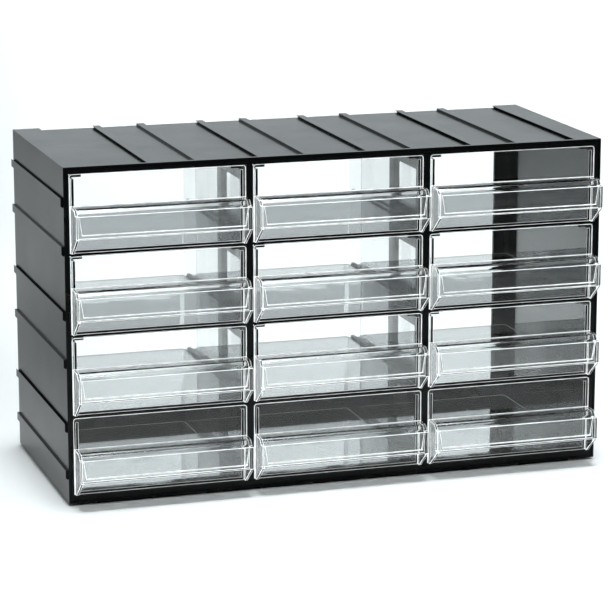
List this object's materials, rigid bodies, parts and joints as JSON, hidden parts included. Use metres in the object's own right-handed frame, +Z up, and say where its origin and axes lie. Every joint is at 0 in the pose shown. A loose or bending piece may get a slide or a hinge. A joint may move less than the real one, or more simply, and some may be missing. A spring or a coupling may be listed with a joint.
{
  "type": "parts bin cabinet",
  "caption": "Stackable tabletop cabinet with a dark open-backed casing and a grid of clear sliding drawers, each with a label pocket and a full-width finger pull.",
  "frame": {"origin": "middle of the casing's footprint, on the surface that it stands on", "axes": "+X to the right along the width, -Y out of the front, +Z up"},
  "size_m": [0.3835, 0.177, 0.2315],
  "materials": {
    "casing_plastic": "satin moulded black plastic",
    "drawer_clear": "clear moulded polystyrene"
  },
  "bodies": {
    "cabinet": {"casing": "casing_plastic", "partition_left": "casing_plastic", "partition_right": "casing_plastic", "shelf_upper": "casing_plastic", "shelf_middle": "casing_plastic", "shelf_lower": "casing_plastic"},
    "drawer_r1_c1": {"drawer_r1_c1": "drawer_clear"},
    "drawer_r1_c2": {"drawer_r1_c2": "drawer_clear"},
    "drawer_r1_c3": {"drawer_r1_c3": "drawer_clear"},
    "drawer_r2_c1": {"drawer_r2_c1": "drawer_clear"},
    "drawer_r2_c2": {"drawer_r2_c2": "drawer_clear"},
    "drawer_r2_c3": {"drawer_r2_c3": "drawer_clear"},
    "drawer_r3_c1": {"drawer_r3_c1": "drawer_clear"},
    "drawer_r3_c2": {"drawer_r3_c2": "drawer_clear"},
    "drawer_r3_c3": {"drawer_r3_c3": "drawer_clear"},
    "drawer_r4_c1": {"drawer_r4_c1": "drawer_clear"},
    "drawer_r4_c2": {"drawer_r4_c2": "drawer_clear"},
    "drawer_r4_c3": {"drawer_r4_c3": "drawer_clear"}
  },
  "joints": [
    {"name": "drawer_r1_c1_slide", "type": "slide", "parent": "cabinet", "child": "drawer_r1_c1", "axis": [0, -1, 0], "range_m": [0, 0.1438]},
    {"name": "drawer_r1_c2_slide", "type": "slide", "parent": "cabinet", "child": "drawer_r1_c2", "axis": [0, -1, 0], "range_m": [0, 0.1438]},
    {"name": "drawer_r1_c3_slide", "type": "slide", "parent": "cabinet", "child": "drawer_r1_c3", "axis": [0, -1, 0], "range_m": [0, 0.1438]},
    {"name": "drawer_r2_c1_slide", "type": "slide", "parent": "cabinet", "child": "drawer_r2_c1", "axis": [0, -1, 0], "range_m": [0, 0.1438]},
    {"name": "drawer_r2_c2_slide", "type": "slide", "parent": "cabinet", "child": "drawer_r2_c2", "axis": [0, -1, 0], "range_m": [0, 0.1438]},
    {"name": "drawer_r2_c3_slide", "type": "slide", "parent": "cabinet", "child": "drawer_r2_c3", "axis": [0, -1, 0], "range_m": [0, 0.1438]},
    {"name": "drawer_r3_c1_slide", "type": "slide", "parent": "cabinet", "child": "drawer_r3_c1", "axis": [0, -1, 0], "range_m": [0, 0.1438]},
    {"name": "drawer_r3_c2_slide", "type": "slide", "parent": "cabinet", "child": "drawer_r3_c2", "axis": [0, -1, 0], "range_m": [0, 0.1438]},
    {"name": "drawer_r3_c3_slide", "type": "slide", "parent": "cabinet", "child": "drawer_r3_c3", "axis": [0, -1, 0], "range_m": [0, 0.1438]},
    {"name": "drawer_r4_c1_slide", "type": "slide", "parent": "cabinet", "child": "drawer_r4_c1", "axis": [0, -1, 0], "range_m": [0, 0.1438]},
    {"name": "drawer_r4_c2_slide", "type": "slide", "parent": "cabinet", "child": "drawer_r4_c2", "axis": [0, -1, 0], "range_m": [0, 0.1438]},
    {"name": "drawer_r4_c3_slide", "type": "slide", "parent": "cabinet", "child": "drawer_r4_c3", "axis": [0, -1, 0], "range_m": [0, 0.1438]}
  ]
}
